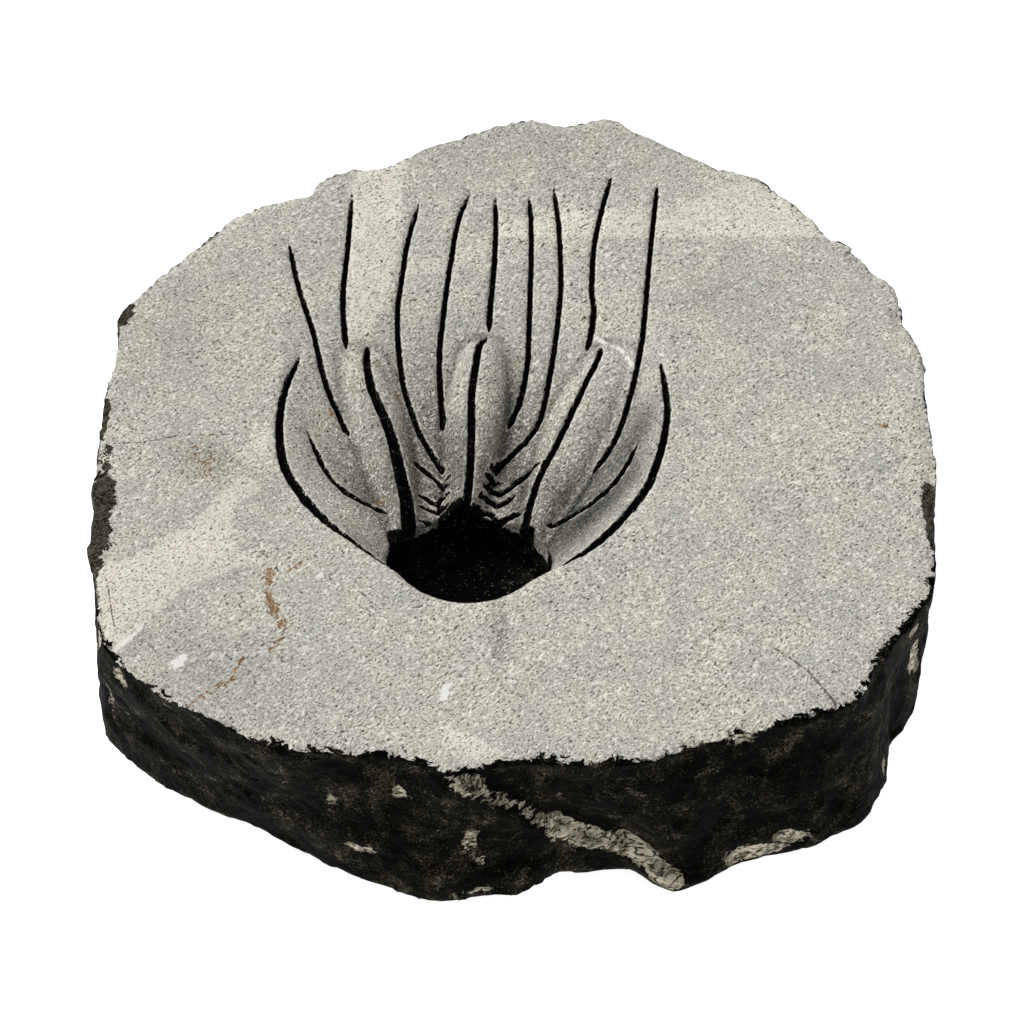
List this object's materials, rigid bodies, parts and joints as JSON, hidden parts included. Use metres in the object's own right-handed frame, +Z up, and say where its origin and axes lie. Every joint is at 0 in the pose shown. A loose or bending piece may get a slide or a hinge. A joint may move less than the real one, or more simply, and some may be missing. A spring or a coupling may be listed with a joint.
{
  "type": "carved stone slab",
  "caption": "Rough round stone slab with a flat tooled top, carved with a deep round well, raised fingers of stone and a fan of narrow saw-cut grooves.",
  "frame": {"origin": "under the middle of the slab, on the plane of its flat bed", "axes": "+Z up, out of the carved top; -Y towards the end where the well is; +Y towards the outer ends of the fan of grooves"},
  "size_m": [0.4565, 0.472, 0.11],
  "materials": {
    "granite": "tooled pale grey granite with dark flecks, near-black broken crust on the sides, black well and grooves"
  },
  "bodies": {
    "root": {"carved_slab": "granite"}
  },
  "joints": []
}
